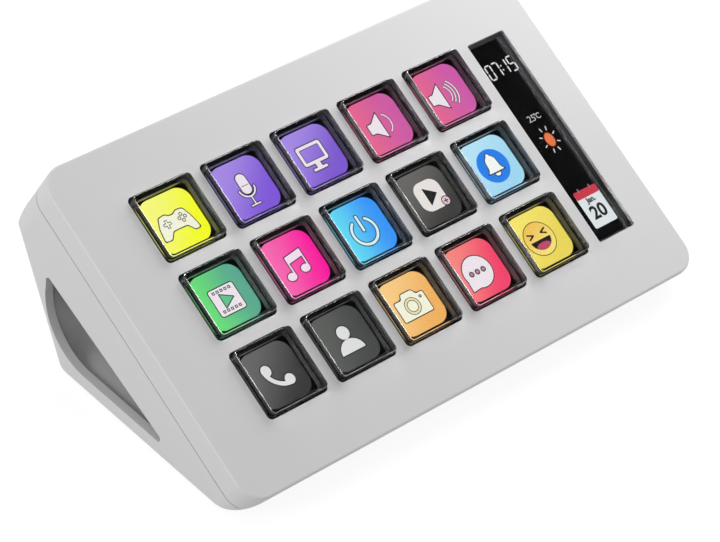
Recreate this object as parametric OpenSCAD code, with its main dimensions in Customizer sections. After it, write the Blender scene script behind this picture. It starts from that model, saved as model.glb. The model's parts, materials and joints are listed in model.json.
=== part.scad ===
// Desktop keypad with fifteen clear keys over one colour display, a narrow side display
// and a hollow wedge stand. Built in the frame of its face and then stood on its feet:
// +X runs along the keys, +Y to the rear and +Z up, with the origin under the middle.

/* [Face] */
// Width of the face
face_w = 130; // [128:1:150]
// Length of the face from its front edge to its top edge
face_h = 80; // [80:1:96]
// Tilt of the face above the desk in degrees
face_tilt = 27.4; // [25:0.2:30]
// Radius of the four corners seen square to the face
corner_r = 5.5; // [4:0.5:7]
// Rounding of the edge round the face
edge_r = 0.5; // [0.3:0.1:0.8]

/* [Side profile] */
// Depth of the front lip square to the face
front_depth = 8; // [7.8:0.1:9]
// Rounding between the front lip and the base
front_r = 12.5; // [10:0.5:13]
// Length of the base from the front lip to the foot corner
base_length = 58.5; // [56:0.5:61]
// Rounding between the base and the rear wall
foot_r = 8; // [5:0.5:9]
// Depth of the top edge square to the face
top_depth = 17.2; // [16.6:0.1:19]
// Rounding between the top edge and the rear wall
top_r = 12; // [9:0.5:13]
// Rounding of the two side edges of the rear wall
rear_r = 3; // [2.6:0.1:4]

/* [Shell] */
// Wall of the cover and the housing
wall = 2; // [1.8:0.1:2.2]
// Thickness of the cover behind the face
cover_t = 1.2; // [1:0.1:1.4]
// Depth of the rim of the cover
cover_depth = 6.2; // [5.8:0.1:6.6]
// Open joint line between the cover and the housing
joint_gap = 0.25; // [0.15:0.05:0.35]
// Height of the tongue behind the joint line
tongue_h = 1.1; // [0.8:0.1:1.3]
// Thickness of that tongue
tongue_t = 0.8; // [0.6:0.1:0.9]
// Clearance between parts that fit into each other
fit = 0.1; // [0.05:0.05:0.15]
// Depth of the deck that closes the electronics bay
deck_depth = 13; // [12.6:0.1:13.6]
// Thickness of the deck
deck_t = 1.8; // [1.4:0.1:2]

/* [Side windows] */
// Height of the lower edge of the side windows above the base
window_floor = 3; // [2.6:0.1:4]
// Distance of their rear edge behind the foot corner
window_rear = 4; // [3:0.1:4.4]
// Gap between the deck and their upper edge at mid face
window_gap = 1.5; // [1.4:0.1:3]
// Angle between their upper edge and the face in degrees
window_slope = 4; // [3:0.1:6]
// Radius of their lower rear corner
window_r = 13.5; // [9:0.5:14]
// Radius of their sharp corners
window_tip_r = 0.9; // [0.5:0.1:1.2]

/* [Keys] */
// Distance from one key to the next
key_pitch = 19; // [18.2:0.1:19.2]
// Side of a square key cap
cap_w = 15; // [14.4:0.1:15.2]
// Corner radius of a key cap
cap_r = 0.9; // [0.8:0.1:1.1]
// Rounding of the top edge of a key cap
cap_edge_r = 0.3; // [0.2:0.05:0.35]
// Height of a key cap above the face
cap_rise = 1.75; // [1.2:0.05:2.4]
// Thickness of the clear top of a key cap
cap_top_t = 2.3; // [1.6:0.1:2.8]
// Thickness of its side walls
cap_wall = 0.85; // [0.7:0.05:1.2]
// Width of the retaining flange round a key cap
flange_w = 0.85; // [0.7:0.05:0.9]
// Thickness of the retaining flange
flange_t = 0.4; // [0.3:0.05:0.6]
// Travel of a key
key_travel = 0.7; // [0.5:0.05:0.9]
// Gap round a moving key cap
key_gap = 0.15; // [0.1:0.05:0.2]
// Corner radius of the key openings in the face
opening_r = 1.2; // [1:0.1:1.5]
// Side of a square key opening in the face
opening_w = 16.1; // [16:0.1:16.4]
// Height of the key grid's centre above the face's centre
grid_y = 0.5; // [0:0.1:1]

/* [Side display] */
// Width of the side display's window
strip_w = 11; // [9:0.5:11.5]
// Length of the side display's window
strip_h = 52.5; // [46:0.5:54]
// Corner radius of the window
strip_r = 0.4; // [0.3:0.1:0.8]
// Distance from the window to the right edge of the face
strip_margin = 8.8; // [8.8:0.1:10]
// Distance from the window to the last key opening
strip_gap = 3.6; // [3.2:0.1:4]
// Depth of the window's lens below the face
lens_drop = 0.1; // [0:0.05:0.3]
// Width of the rim that holds the lens behind the cover
lens_rim = 0.7; // [0.5:0.1:0.8]

/* [Display and electronics] */
// Thickness of the web that retains the keys
frame_web = 0.4; // [0.3:0.05:0.6]
// Thickness of the silicone return mat
mat_t = 0.15; // [0.1:0.05:0.25]
// Thickness of the printed switch sheet
sheet_t = 0.1; // [0.1:0.05:0.2]
// Margin of the display beyond the openings, left and right
display_margin_x = 1.6; // [1.5:0.1:1.7]
// Margin of the display beyond the openings, front and top
display_margin_y = 3.6; // [3.2:0.1:3.7]
// Thickness of the display glass
display_t = 1.4; // [1.2:0.1:1.6]
// Width of the bare glass ledge at the front edge of the display
ledge_w = 2.4; // [2:0.1:2.6]
// Thickness of the backlight
light_t = 1.8; // [1.4:0.1:2]
// Thickness of the sheet metal tray
tray_t = 0.6; // [0.5:0.1:0.8]
// Height of the stand-offs between the tray and the board
standoff_h = 1.75; // [1.6:0.05:2]
// Width of the circuit board
board_w = 88; // [84:1:92]
// Length of the circuit board
board_h = 44.4; // [42:0.2:46]
// Thickness of the circuit board
board_t = 1.2; // [1:0.1:1.6]

/* [Feet and fasteners] */
// Length of the rubber feet across the base
foot_w = 110; // [90:1:114]
// Width of a rubber foot
foot_strip = 6; // [4:0.5:7]
// Thickness of a rubber foot
foot_t = 1.1; // [0.9:0.1:1.3]
// Height of a rubber foot below the base
foot_proud = 0.6; // [0.4:0.1:0.8]
// Distance of the front foot behind the front lip
front_foot_y = 16.3; // [14:0.1:20]
// Distance of the rear foot in front of the foot corner
rear_foot_y = 10.7; // [10:0.1:14]
// Distance of the two cover screws from the side edges of the face
screw_side = 4.2; // [4.1:0.1:4.3]
// Distance of the cover screws from the front edge of the face
screw_inset = 12; // [11.5:0.5:14]
// Shank radius of every screw
screw_r = 0.75; // [0.6:0.05:0.8]
// Spacing of the four snap hooks at the top edge
hook_pitch = 32; // [28:1:34]
// Width of a snap hook
hook_w = 6; // [5:0.5:7]

/* [Hidden] */
$fn = 64;
seam = 0.002;
over = 1;
key_rows = 3;
// As many columns as fit between the side display and an equal margin on the left.
key_columns = floor((face_w - 2 * strip_margin - strip_w - strip_gap - opening_w) / key_pitch) + 1;

// Heights of the stack, measured from the face, each built on the one above it.
seat_gap = 0.05;
cover_back = -cover_t;
flange_top = cover_back - frame_web - seat_gap;
flange_back = flange_top - flange_t;
frame_back = flange_back - key_travel - seat_gap;
mat_back = frame_back - mat_t;
display_top = mat_back - sheet_t;
display_back = display_top - display_t;
glass_split = (display_top + display_back) / 2;
light_back = display_back - light_t;
tray_back = light_back - tray_t;
board_top = tray_back - standoff_h;
board_back = board_top - board_t;
deck_top = -deck_depth;
deck_back = deck_top - deck_t;
joint_top = -cover_depth;
joint_back = joint_top - joint_gap;
tongue_top = joint_top + tongue_h;

// Places on the face: the side display hangs from the right edge, the keys from the display.
strip_x = face_w / 2 - strip_margin - strip_w / 2;
grid_x = strip_x - strip_w / 2 - strip_gap - opening_w / 2 - (key_columns - 1) / 2 * key_pitch;
grid_span = [(key_columns - 1) * key_pitch, (key_rows - 1) * key_pitch];
display_left = grid_x - (grid_span[0] + opening_w) / 2 - display_margin_x;
display_right = strip_x + strip_w / 2 + display_margin_x;
display_size = [display_right - display_left, grid_span[1] + opening_w + 2 * display_margin_y];
display_mid = [(display_left + display_right) / 2, grid_y];
display_front = grid_y - display_size[1] / 2;

// Sizes of what fits together.
cap_inner = cap_w - 2 * cap_wall;
collar_inner = cap_w + 2 * key_gap;
flange_size = cap_w + 2 * flange_w;
flange_bulge = 0.5;
flange_r = cap_r + flange_bulge;
pocket_gap = 0.2;
pocket_size = flange_size + 2 * pocket_gap;
pocket_r = flange_r + pocket_gap;
collar_drop = 0.1;
mat_ledge = 0.2;
mat_window = cap_w - 2 * mat_ledge;
mat_window_r = cap_r;
mat_collar_gap = 0.05;
mat_collar_t = 0.4;
mat_collar = cap_w * [1, 1] + 2 * [mat_collar_gap, mat_collar_gap + mat_collar_t];
mat_rim = 0.9;
mat_size = grid_span + [pocket_size, pocket_size] + 2 * [mat_rim, mat_rim];
lens_size = [strip_w - 2 * fit, strip_h - 2 * fit];
rim_size = lens_size + 2 * [lens_rim, lens_rim];
rim_gap = 0.15;
gasket_w = 1.3;
sheet_corner_r = 0.8;

// The tray, its ears and its stand-offs.
tray_gap = 0.2;
tray_wall = 0.5;
tray_hold = 0.4;
tray_lip = display_back + tray_hold;
tray_size = display_size + 2 * [tray_gap + tray_wall, tray_gap + tray_wall];
ear_reach = 2.2;
ear_w = 7;
ear_gap = 0.2;
ear_r = 1;
ear_boss_r = 1.9;
hole_r = screw_r + 0.2;
pilot_r = screw_r + 0.05;
pilot_top_t = 1;
head_r = 1.6;
head_h = 1.1;
slot_w = 0.4;
screw_grip = 3;
tip_gap = 0.4;
standoff_r = 2;
standoff_inset = 3.5;

// Snap hooks, with the board kept clear of them.
hook_t = 1;
hook_lug = 0.6;
hook_lead = 0.8;
hook_slope = 0.4;
hook_count = 4;
hook_play = 3 * fit;
hook_pocket_h = 1.5;
hook_end = -9.4;
hook_y = face_h / 2 - wall - fit - hook_t;
board_gap = 0.5;
board_r = 1;
board_mid = [display_mid[0], hook_y - board_gap - board_h / 2];
board_side = board_mid - [board_w, board_h] / 2;
standoff_y = [board_side[1] + standoff_inset, grid_y + tray_size[1] / 2 - standoff_inset];

// The cover screws and their posts.
cover_boss_r = 2.1;
boss_drop = 0.15;
cover_boss_end = tray_back - boss_drop;
post_r = 2.5;
head_gap = 0.15;
well_r = head_r + head_gap;
post_top_t = 1.4;
well_top = cover_boss_end - post_top_t;
screw_y = -face_h / 2 + screw_inset;
ear_post_gap = 0.5;
ear_inset = 9.35;
ear_y = [screw_y + post_r + ear_w / 2 + ear_post_gap, grid_y + tray_size[1] / 2 - ear_inset];

// The flat cables and their sockets on the board.
cable_t = 0.12;
cable_drop = 0.7;
cable_z = tray_back - cable_drop;
cable_gap = 0.05;
ribbon_w = 20;
ribbon_shift = 19;
ribbon_x = display_mid[0] + ribbon_shift;
tail_w = 8;
tail_y = 10;
tail_root = 1;
connector_h = 1.4;
connector_d = 4;
connector_side = 1.5;
connector_edge = 1;
connector_r = 0.3;
cable_grip = 1.6;
cable_play = [0.2, 0.08];
slot_over = 0.1;
ribbon_bond = 1.6;

// The USB socket sits halfway through the board.
usb_w = 8.94;
usb_h = 3.26;
usb_depth = 7.3;
usb_wall = 0.3;
usb_flat = 0.02;
usb_r = usb_h / 2 - usb_flat;
usb_z = (board_top + board_back) / 2;
usb_inset = 0.3;
usb_front = face_h / 2 - usb_inset;
usb_play = 0.3;
usb_back = 1.5;
usb_setback = 0.8;
usb_tongue = [6.7, 0.7];

// Parts under the board: places from its middle, and sizes with the height last.
chip_r = 0.3;
controller_place = [-16, 2];
controller_size = [10, 10, 1.1];
memory_place = [8, 4];
memory_size = [8, 6, 0.9];
crystal_place = [-16, -8];
crystal_size = [5, 3.2, 1];
crystal_r = 0.6;
coil_count = 2;
coil_place = [20, 12];
coil_size = [5, 5, 1.8];
coil_r = 0.8;
coil_pitch = 7;
capacitor_count = 7;
capacitor_size = [1, 1.6, 0.8];
capacitor_pitch = 2.4;
capacitor_place = [2, -6];
resistor_count = 5;
resistor_place = [-30, -4];
resistor_size = [1.6, 1, 0.5];
small_r = 0.1;

// The side outline in [y, z] of the face frame, from the front of the face round to its top.
level = [cos(face_tilt), -sin(face_tilt)];
plumb = [sin(face_tilt), cos(face_tilt)];
lip_corner = [-face_h / 2, -front_depth];
foot_corner = lip_corner + base_length * level;
top_corner = [face_h / 2, -top_depth];
side_points = [[-face_h / 2, 0], lip_corner, foot_corner, top_corner, [face_h / 2, 0]];
side_radii = [0, front_r, foot_r, top_r, 0];
rear_line = top_corner - foot_corner;
rear_turn = -atan2(rear_line[0], rear_line[1]);
rear_offset = top_corner * [cos(rear_turn), sin(rear_turn)];
least_rear_r = 0.5;
window_over = 0.25;
reach = face_w;

function unit(v) = v / norm(v);
function to_prev(points, i) = unit(points[(i + len(points) - 1) % len(points)] - points[i]);
function to_next(points, i) = unit(points[(i + 1) % len(points)] - points[i]);
function half_angle(points, i) = acos(to_prev(points, i) * to_next(points, i)) / 2;
// The corner moved inwards until it lies d from both of its sides.
function inset(points, i, d) =
    points[i] + unit(to_prev(points, i) + to_next(points, i)) * d / sin(half_angle(points, i));
// The point where the line through p along a meets the line through q along b.
function meet(p, a, q, b) = p + a * cross(q - p, b) / cross(a, b);

// How far the standing body reaches along the desk, to centre it over the origin.
front_reach = [-face_h / 2 + edge_r, -edge_r] * level - edge_r;
rear_reach = inset(side_points, 3, top_r) * level + top_r;
shift_y = -(front_reach + rear_reach) / 2;
shift_z = foot_proud - lip_corner * plumb;
base_front = lip_corner * level + shift_y;
base_rear = base_front + base_length;
foot_flat = 0.01;

// Places a piece that was made in the frame of the face.
module seated() translate([0, shift_y, shift_z]) rotate([face_tilt, 0, 0]) children();

// A polygon of which each corner is rounded by its own radius. The rounding circle is larger by a
// seam, so that it crosses the two sides cleanly instead of only touching them.
module rounded_outline(points, radii) difference() {
    polygon(points);
    for (i = [0:len(points) - 1]) if (radii[i] > 0) {
        corner = points[i];
        centre = inset(points, i, radii[i]);
        run = radii[i] / tan(half_angle(points, i));
        difference() {
            polygon([corner + to_prev(points, i) * run, centre,
                     corner + to_next(points, i) * run, corner + (corner - centre) / 2]);
            translate(centre) circle(radii[i] + seam);
        }
    }
}

module round_rect(size, r) {
    square([size[0] - 2 * r, size[1]], center = true);
    square([size[0], size[1] - 2 * r], center = true);
    for (x = [-1, 1]) for (y = [-1, 1])
        translate([x * (size[0] / 2 - r), y * (size[1] / 2 - r)]) circle(r);
}

// A flat piece with round corners between two heights.
module plate(size, r, low, high) translate([0, 0, low]) linear_extrude(high - low)
    round_rect(size, r);

// Half of a section whose top corner is rounded.
module soft_half(half, height, edge) {
    square([half, height - edge]);
    square([half - edge, height]);
    translate([half - edge, height - edge]) circle(edge);
}

module soft_section(width, height, edge) {
    soft_half(width / 2, height, edge);
    mirror([1, 0]) soft_half(width / 2, height, edge);
}

// A block with round corners and a rounded top edge: two crossing runs and four turned corners.
module soft_block(size, r, edge, low, high) {
    runs = size - 2 * [r, r];
    height = high - low;
    translate([0, 0, low]) {
        rotate([90, 0, 90]) translate([0, 0, -runs[0] / 2]) linear_extrude(runs[0])
            soft_section(size[1], height, edge);
        rotate([90, 0, 0]) translate([0, 0, -runs[1] / 2]) linear_extrude(runs[1])
            soft_section(size[0], height, edge);
        for (turn = [0:3]) {
            side = [turn == 0 || turn == 3 ? 1 : -1, turn < 2 ? 1 : -1];
            translate([side[0] * runs[0] / 2, side[1] * runs[1] / 2]) rotate(90 * turn)
                rotate_extrude(angle = 90) soft_half(r, height, edge);
        }
    }
}

// Extrudes a side outline across the body, centred.
module across(width) rotate([90, 0, 90]) translate([0, 0, -width / 2]) linear_extrude(width)
    children();

module below(z) translate([-reach, -reach, z - reach]) cube([2 * reach, 2 * reach, reach]);
module above(z) translate([-reach, -reach, z]) cube([2 * reach, 2 * reach, reach]);

// The outer form of the body moved in by d, open upwards except for the outer form itself.
module body_form(d) intersection() {
    across(face_w - 2 * d) rounded_outline(
        concat([[-face_h / 2 + d, over]], [for (i = [1:3]) inset(side_points, i, d)],
               [[face_h / 2 - d, over]]),
        [for (r = side_radii) max(r - d, 0)]);
    if (d == 0) soft_block([face_w, face_h], corner_r, edge_r, -face_h, 0);
    if (d > 0) plate([face_w - 2 * d, face_h - 2 * d], corner_r - d, -face_h, over);
    rotate([rear_turn, 0, 0]) linear_extrude(2 * reach, center = true)
        translate([0, rear_offset - d - reach])
        round_rect([face_w - 2 * d, 2 * reach], max(rear_r - d, least_rear_r));
}

module key_grid() for (row = [1:key_rows]) for (column = [1:key_columns])
    at_key(row, column) children();

module at_key(row, column) translate([grid_x + (column - (key_columns + 1) / 2) * key_pitch,
                                      grid_y - (row - (key_rows + 1) / 2) * key_pitch]) children();

module at_cover_screws() for (side = [-1, 1])
    translate([side * (face_w / 2 - screw_side), screw_y]) children();

module at_ears() for (x = [-1, 1]) for (y = ear_y)
    translate([display_mid[0] + x * (tray_size[0] / 2 + ear_reach), y]) children();

module at_standoffs() for (x = [-1, 1]) for (y = standoff_y)
    translate([board_mid[0] + x * (board_w / 2 - standoff_inset), y]) children();

module at_hooks() for (i = [0:hook_count - 1])
    translate([(i - (hook_count - 1) / 2) * hook_pitch, 0]) children();

module post(r, low, high) translate([0, 0, low]) cylinder(r = r, h = high - low);

// A pan-head screw that points up, with its head under seat.
module screw(seat, tip) difference() {
    union() {
        post(screw_r, seat, tip);
        post(head_r, seat - head_h, seat);
    }
    for (turn = [0, 90]) rotate(turn) translate([0, 0, seat - head_h])
        cube([head_r, slot_w, head_h], center = true);
}

module front_cover() color("gainsboro") seated() {
    difference() {
        union() {
            difference() {
                body_form(0);
                below(joint_top);
                intersection() {
                    body_form(wall);
                    below(cover_back);
                }
                intersection() {
                    body_form(wall - tongue_t - fit);
                    below(tongue_top + fit);
                }
            }
            at_cover_screws() post(cover_boss_r, cover_boss_end, cover_back / 2);
            at_ears() post(ear_boss_r, light_back, cover_back / 2);
            at_hooks() hook();
        }
        at_cover_screws() post(pilot_r, cover_boss_end - over, cover_back - pilot_top_t);
        at_ears() post(pilot_r, light_back - over, cover_back - pilot_top_t);
        key_grid() plate([opening_w, opening_w], opening_r, cover_back - over, over);
        translate([strip_x, grid_y]) plate([strip_w, strip_h], strip_r, cover_back - over, over);
    }
}

// A springy tab behind the top edge whose lug snaps into the housing.
module hook() across(hook_w) polygon([
    [hook_y, cover_back / 2], [hook_y, hook_end], [hook_y + hook_t, hook_end],
    [hook_y + hook_t + hook_lug, hook_end + hook_lead],
    [hook_y + hook_t, hook_end + hook_lead + hook_slope],
    [hook_y + hook_t, cover_back / 2]]);

// The black mask behind the face: collars line the openings, and pockets retain the keys.
module key_frame() color("dimgray") seated() difference() {
    union() {
        translate(display_mid) plate(display_size, sheet_corner_r, frame_back, cover_back);
        key_grid() plate([opening_w - 2 * fit, opening_w - 2 * fit], opening_r - fit,
                         cover_back - frame_web, -collar_drop);
    }
    key_grid() plate([collar_inner, collar_inner], cap_r + key_gap, frame_back - over, over);
    key_grid() plate([pocket_size, pocket_size], pocket_r, frame_back - over,
                     cover_back - frame_web);
    translate([strip_x, grid_y]) plate(rim_size + 2 * [rim_gap, rim_gap], strip_r + rim_gap,
                                       frame_back - over, over);
}

// A clear cap: a thick top, thin walls round the view of the display, and a flange below.
module keycap(row, column) color("lightsteelblue", 0.5) seated() at_key(row, column)
    difference() {
        union() {
            soft_block([cap_w, cap_w], cap_r, cap_edge_r, flange_back, cap_rise);
            plate([flange_size, flange_size], flange_r, flange_back, flange_top);
        }
        plate([cap_inner, cap_inner], cap_r, flange_back - over, cap_rise - cap_top_t);
    }

module strip_lens() color("black") seated() translate([strip_x, grid_y]) {
    plate(lens_size, strip_r, cover_back - seat_gap, -lens_drop);
    plate(rim_size, strip_r, frame_back, cover_back - seat_gap);
}

module strip_gasket() color("darkslategray") seated() translate([strip_x, grid_y]) difference() {
    plate(rim_size, strip_r, display_top, frame_back);
    plate(rim_size - 2 * [gasket_w, gasket_w], strip_r, display_top - over, frame_back + over);
}

// One silicone sheet with a springy collar under the flange of every key.
module return_mat() color("slategray") seated() difference() {
    union() {
        translate([grid_x, grid_y]) plate(mat_size, sheet_corner_r, mat_back, frame_back);
        key_grid() plate([mat_collar[1], mat_collar[1]], mat_window_r, mat_back,
                         flange_back - seat_gap);
    }
    key_grid() plate([mat_window, mat_window], mat_window_r, mat_back - over, 0);
    key_grid() plate([mat_collar[0], mat_collar[0]], mat_window_r, frame_back, 0);
}

// The printed contacts under the mat, with a tail that folds round to the board.
module switch_sheet() color("olivedrab") seated() {
    difference() {
        translate([grid_x, grid_y]) plate(mat_size, sheet_corner_r, display_top, mat_back);
        key_grid() plate([mat_window, mat_window], mat_window_r, display_top - over, 0);
    }
    translate([0, tail_y + tail_w / 2]) rotate([90, 0, 0]) linear_extrude(tail_w)
        fold(grid_x - mat_size[0] / 2 + tail_root, display_left, board_side[0] + connector_edge
             + cable_grip, mat_back, sheet_t);
}

// A flat cable from the side: out from start, round a bend just past edge and back to finish.
module fold(start, edge, finish, top, t) {
    bend = (top - cable_z) / 2;
    centre = [edge - cable_gap, cable_z + bend];
    difference() {
        union() {
            translate(centre) circle(bend);
            translate([centre[0], cable_z]) square([reach, 2 * bend]);
        }
        translate(centre) circle(bend - t);
        translate([centre[0], cable_z + t]) square([2 * reach, 2 * (bend - t)]);
        translate([start, centre[1]]) square([2 * reach, 2 * bend]);
        translate([finish, centre[1] - 2 * bend]) square([2 * reach, 2 * bend]);
    }
}

module display_panel() color("midnightblue") seated() translate(display_mid) {
    plate(display_size, sheet_corner_r, display_back, glass_split);
    translate([0, ledge_w / 2]) plate(display_size - [0, ledge_w], sheet_corner_r, glass_split,
                                      display_top);
}

module backlight() color("white") seated() translate(display_mid)
    plate(display_size, sheet_corner_r, light_back, display_back);

module display_tray() color("silver") seated() difference() {
    union() {
        translate(display_mid) difference() {
            plate(tray_size, sheet_corner_r, tray_back, tray_lip);
            plate(display_size + 2 * [tray_gap, tray_gap], sheet_corner_r, light_back, 0);
        }
        for (y = ear_y) translate([display_mid[0], y])
            plate([tray_size[0] + 4 * ear_reach - ear_gap, ear_w], ear_r, tray_back, light_back);
        at_standoffs() post(standoff_r, board_top, tray_back);
    }
    at_ears() post(hole_r, tray_back - over, 0);
    at_standoffs() post(pilot_r, board_top - over, tray_back);
}

module tray_screws() color("dimgray") seated() at_ears()
    screw(tray_back, light_back + screw_grip);

module main_board() color("darkgreen") seated() difference() {
    translate(board_mid) plate([board_w, board_h], board_r, board_back, board_top);
    at_standoffs() post(hole_r, board_back - over, 0);
    translate([0, usb_front]) plate([usb_w + 2 * fit, 2 * (usb_depth + fit)], fit,
                                    board_back - over, 0);
}

module board_screws() color("dimgray") seated() at_standoffs()
    screw(board_back, tray_back - tip_gap);

// A USB-C type receptacle: a drawn shell, a tongue inside it and a moulded back.
module usb_socket() color("silver") seated() translate([0, usb_front, usb_z]) rotate([90, 0, 0]) {
    difference() {
        linear_extrude(usb_depth) round_rect([usb_w, usb_h], usb_r);
        translate([0, 0, -over]) linear_extrude(usb_depth - usb_back + over)
            round_rect([usb_w - 2 * usb_wall, usb_h - 2 * usb_wall], usb_r - usb_wall);
    }
    translate([0, 0, usb_setback]) linear_extrude(usb_depth - usb_back / 2 - usb_setback)
        square(usb_tongue, center = true);
}

// A part under the board, and a row of equal ones.
module under_board(place, size, r) translate(board_mid + place)
    plate([size[0], size[1]], r, board_back - size[2], board_back);

module part_row(count, step, place, size, r) for (i = [0:count - 1])
    under_board(place + i * step, size, r);

module controller_chip() color("black") seated()
    under_board(controller_place, controller_size, chip_r);

module memory_chip() color("black") seated() under_board(memory_place, memory_size, chip_r);

// A crystal, two coils and rows of small capacitors and resistors.
module board_parts() color("tan") seated() {
    under_board(crystal_place, crystal_size, crystal_r);
    part_row(coil_count, [coil_pitch, 0], coil_place, coil_size, coil_r);
    part_row(capacitor_count, [capacitor_pitch, 0], capacitor_place, capacitor_size, small_r);
    part_row(resistor_count, [0, capacitor_pitch], resistor_place, resistor_size, small_r);
}

// A low socket on the board with a slot for a flat cable in one side.
module connector(size, slot_middle, slot_size) difference() {
    plate(size, connector_r, board_top, board_top + connector_h);
    translate(slot_middle) cube(slot_size, center = true);
}

module display_connector() color("ivory") seated()
    translate([ribbon_x, board_side[1] + connector_edge + connector_d / 2])
    connector([ribbon_w + 2 * connector_side, connector_d],
              [0, -connector_d / 2, cable_z + cable_t / 2],
              [ribbon_w + 2 * cable_play[0], 2 * cable_grip + slot_over, cable_t + 2 * cable_play[1]]);

module switch_connector() color("ivory") seated()
    translate([board_side[0] + connector_edge + connector_d / 2, tail_y])
    connector([connector_d, tail_w + 2 * connector_side],
              [-connector_d / 2, 0, cable_z + sheet_t / 2],
              [2 * cable_grip + slot_over, tail_w + 2 * cable_play[0], sheet_t + 2 * cable_play[1]]);

module display_ribbon() color("darkorange") seated()
    translate([ribbon_x - ribbon_w / 2, 0]) rotate([90, 0, 90]) linear_extrude(ribbon_w)
    fold(display_front + ribbon_bond, display_front, board_side[1] + connector_edge + cable_grip,
         glass_split + cable_t, cable_t);

// The wedge stand: walls, deck, tongue and posts, with a window through each cheek.
module rear_housing() color("gainsboro") difference() {
    seated() difference() {
        union() {
            difference() {
                union() {
                    difference() {
                        body_form(0);
                        above(joint_back);
                    }
                    difference() {
                        body_form(wall - tongue_t);
                        above(tongue_top);
                    }
                }
                intersection() {
                    body_form(wall);
                    above(deck_top);
                }
                intersection() {
                    body_form(wall);
                    below(deck_back);
                }
            }
            intersection() {
                body_form(wall / 2);
                at_cover_screws() post(post_r, -face_h / 2, cover_boss_end - seat_gap);
            }
        }
        at_cover_screws() post(hole_r, well_top - over, 0);
        at_cover_screws() post(well_r, -face_h / 2, well_top);
        side_windows();
        hook_pockets();
        translate([0, 0, usb_z]) rotate([-90, 0, 0]) linear_extrude(face_h)
            round_rect([usb_w + 2 * usb_play, usb_h + 2 * usb_play], usb_h / 2);
    }
    front_foot_strip(fit);
    rear_foot_strip(fit);
}

module hook_pockets() at_hooks() across(hook_w + 2 * hook_play)
    translate([hook_y + hook_t, hook_end - fit]) square([hook_lug + fit + hook_play, hook_pocket_h]);

// Three straight edges: level above the base, upright behind the foot, and near the deck.
module side_windows() {
    window_line = [cos(window_slope), -sin(window_slope)];
    sill = lip_corner + window_floor * plumb;
    back = foot_corner + window_rear * level;
    head = [0, deck_back - window_gap];
    for (side = [-1, 1]) translate([side * (face_w / 2 - wall / 2), 0])
        across(wall + 2 * window_over) rounded_outline(
            [meet(sill, level, head, window_line), meet(sill, level, back, plumb),
             meet(head, window_line, back, plumb)],
            [window_tip_r, window_r, window_tip_r]);
}

// A strip with round ends in a recess of the base that is wider by the play.
module foot_pad(y, play) translate([0, y])
    plate([foot_w + 2 * play, foot_strip + 2 * play], foot_strip / 2 + play - foot_flat, 0, foot_t);
module front_foot_strip(play) foot_pad(base_front + front_foot_y, play);
module rear_foot_strip(play) foot_pad(base_rear - rear_foot_y, play);

module front_foot() color("dimgray") front_foot_strip(0);
module rear_foot() color("dimgray") rear_foot_strip(0);

module cover_screws() color("dimgray") seated() at_cover_screws()
    screw(well_top, cover_back - pilot_top_t - tip_gap);

front_cover();
key_frame();
strip_lens();
strip_gasket();
return_mat();
switch_sheet();
display_panel();
backlight();
display_tray();
tray_screws();
main_board();
board_screws();
usb_socket();
controller_chip();
memory_chip();
board_parts();
display_connector();
switch_connector();
display_ribbon();
rear_housing();
front_foot();
rear_foot();
cover_screws();
for (row = [1:key_rows]) for (column = [1:key_columns])
    keycap(row, column);
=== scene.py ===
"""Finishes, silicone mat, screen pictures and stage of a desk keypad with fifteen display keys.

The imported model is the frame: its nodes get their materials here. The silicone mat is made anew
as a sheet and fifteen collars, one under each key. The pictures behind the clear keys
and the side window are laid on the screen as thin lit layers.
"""

import json
import math

import bmesh
import bpy
from mathutils import Matrix, Vector


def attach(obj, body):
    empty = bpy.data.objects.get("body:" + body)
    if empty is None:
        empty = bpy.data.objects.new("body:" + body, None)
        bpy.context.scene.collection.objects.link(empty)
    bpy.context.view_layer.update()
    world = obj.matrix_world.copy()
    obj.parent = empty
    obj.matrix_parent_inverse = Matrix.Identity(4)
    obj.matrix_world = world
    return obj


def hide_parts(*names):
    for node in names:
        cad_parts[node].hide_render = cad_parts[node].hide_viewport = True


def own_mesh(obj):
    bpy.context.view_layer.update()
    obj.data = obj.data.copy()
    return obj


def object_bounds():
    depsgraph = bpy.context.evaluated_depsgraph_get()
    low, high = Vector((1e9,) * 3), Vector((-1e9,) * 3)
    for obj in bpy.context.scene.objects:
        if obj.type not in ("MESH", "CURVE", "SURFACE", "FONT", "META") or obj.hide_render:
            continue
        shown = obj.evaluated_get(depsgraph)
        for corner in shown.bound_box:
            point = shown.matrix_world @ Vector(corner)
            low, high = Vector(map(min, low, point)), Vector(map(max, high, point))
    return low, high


bl_info = {
    "name": "Display keypad",
    "version": (1, 0, 0),
    "blender": (4, 5, 0),
    "location": "3D View > Sidebar > Keypad",
    "description": "Finishes, screen pictures and stage of a desk keypad with clear display keys",
    "category": "Object",
}

MM = 0.001

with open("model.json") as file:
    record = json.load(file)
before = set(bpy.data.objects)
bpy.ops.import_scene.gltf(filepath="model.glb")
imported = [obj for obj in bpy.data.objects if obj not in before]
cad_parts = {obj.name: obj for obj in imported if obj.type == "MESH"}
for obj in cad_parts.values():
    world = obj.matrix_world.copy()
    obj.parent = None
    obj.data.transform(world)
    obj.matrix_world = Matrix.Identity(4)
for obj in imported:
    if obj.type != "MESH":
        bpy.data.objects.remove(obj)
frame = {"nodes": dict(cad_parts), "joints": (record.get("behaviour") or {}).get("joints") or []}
CAD_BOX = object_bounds()

# The face: its normal is the way out of the keys, and the screen's level lies along it.
OUTWARD = -Vector(frame["joints"][0]["axis"]).normalized()
ACROSS = Vector((1, 0, 0))
UPWARD = OUTWARD.cross(ACROSS)


def span(node, direction):
    """Lowest and highest place of a node along a direction."""
    places = [vertex.co.dot(direction) for vertex in frame["nodes"][node].data.vertices]
    return min(places), max(places)


def middle(node):
    """Place of a node's middle along the keys and up the face."""
    return [sum(span(node, direction)) / 2 for direction in (ACROSS, UPWARD)]


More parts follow.
